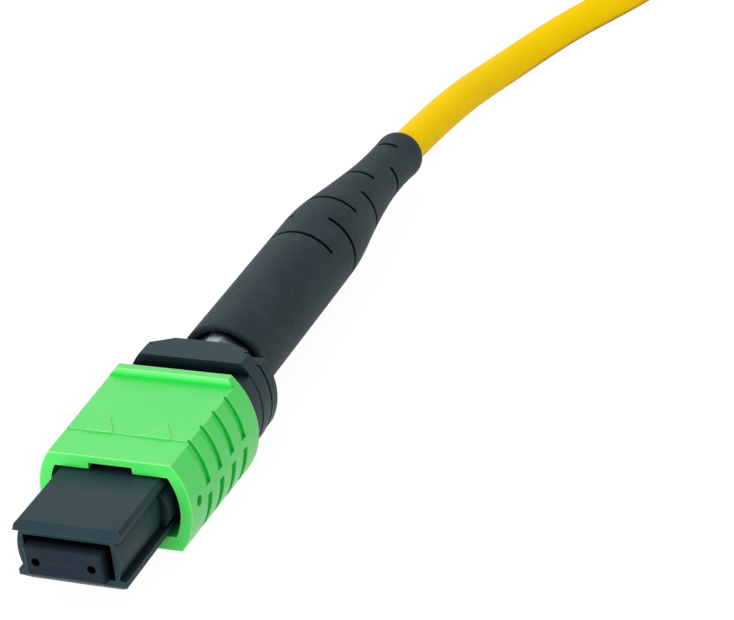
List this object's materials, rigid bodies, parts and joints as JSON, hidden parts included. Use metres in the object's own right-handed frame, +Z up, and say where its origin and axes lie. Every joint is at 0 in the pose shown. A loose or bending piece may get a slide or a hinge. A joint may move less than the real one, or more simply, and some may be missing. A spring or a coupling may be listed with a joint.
{
  "type": "mpo fibre connector",
  "caption": "Push-on multi-fibre connector: flat ferrule in a keyed housing, sliding ribbed pull sleeve, crimped strain relief and a folded round cable tail.",
  "frame": {"origin": "centre of the ferrule's polished end face, on the plug's axis", "axes": "+Y back along the plug towards the cable, +X across the row of fibres, +Z up with the key underneath"},
  "size_m": [0.0306, 0.1928, 0.0102],
  "materials": {
    "ferrule_resin": "polished filled resin, near black",
    "grommet_rubber": "soft matt black",
    "keeper_plastic": "plain grey moulding",
    "spring_steel": "bright drawn wire",
    "coat_blue": "thin clear-coloured coating",
    "coat_orange": "thin clear-coloured coating",
    "coat_green": "thin clear-coloured coating",
    "coat_brown": "thin clear-coloured coating",
    "coat_slate": "thin clear-coloured coating",
    "coat_white": "thin clear-coloured coating",
    "coat_red": "thin clear-coloured coating",
    "coat_black": "thin clear-coloured coating",
    "coat_yellow": "thin clear-coloured coating",
    "coat_violet": "thin clear-coloured coating",
    "coat_rose": "thin clear-coloured coating",
    "coat_aqua": "thin clear-coloured coating",
    "housing_plastic": "satin moulded blue-black",
    "sleeve_plastic": "satin moulded bright green",
    "rear_plastic": "satin moulded blue-black",
    "yarn": "straw-yellow fibres",
    "crimp_metal": "dark plated, polished",
    "relief_rubber": "fine matt grain, blue-black",
    "cable_jacket": "smooth soft yellow jacket"
  },
  "bodies": {
    "plug": {"inner_housing": "housing_plastic", "rear_body": "rear_plastic", "strength_yarn": "yarn", "crimp_ring": "crimp_metal", "strain_relief": "relief_rubber", "held_cable": "cable_jacket", "cable_lead": "cable_jacket", "cable_hank": "cable_jacket", "ferrule_spring": "spring_steel", "return_spring_left": "spring_steel", "return_spring_right": "spring_steel"},
    "sleeve": {"pull_sleeve": "sleeve_plastic"},
    "ferrule": {"mt_ferrule": "ferrule_resin", "ferrule_grommet": "grommet_rubber", "pin_keeper": "keeper_plastic", "fibre_01_blue": "coat_blue", "fibre_02_orange": "coat_orange", "fibre_03_green": "coat_green", "fibre_04_brown": "coat_brown", "fibre_05_slate": "coat_slate", "fibre_06_white": "coat_white", "fibre_07_red": "coat_red", "fibre_08_black": "coat_black", "fibre_09_yellow": "coat_yellow", "fibre_10_violet": "coat_violet", "fibre_11_rose": "coat_rose", "fibre_12_aqua": "coat_aqua"}
  },
  "joints": [
    {"name": "sleeve_pull", "type": "slide", "parent": "plug", "child": "sleeve", "axis": [0, 1, 0], "range_m": [0, 0.0022], "stiffness_N_per_m": 600, "deforming": ["return_spring_left", "return_spring_right"]},
    {"name": "ferrule_float", "type": "slide", "parent": "plug", "child": "ferrule", "axis": [0, 1, 0], "range_m": [0, 0.0008], "stiffness_N_per_m": 1500, "deforming": ["ferrule_spring", "fibre_01_blue", "fibre_02_orange", "fibre_03_green", "fibre_04_brown", "fibre_05_slate", "fibre_06_white", "fibre_07_red", "fibre_08_black", "fibre_09_yellow", "fibre_10_violet", "fibre_11_rose", "fibre_12_aqua"]}
  ]
}
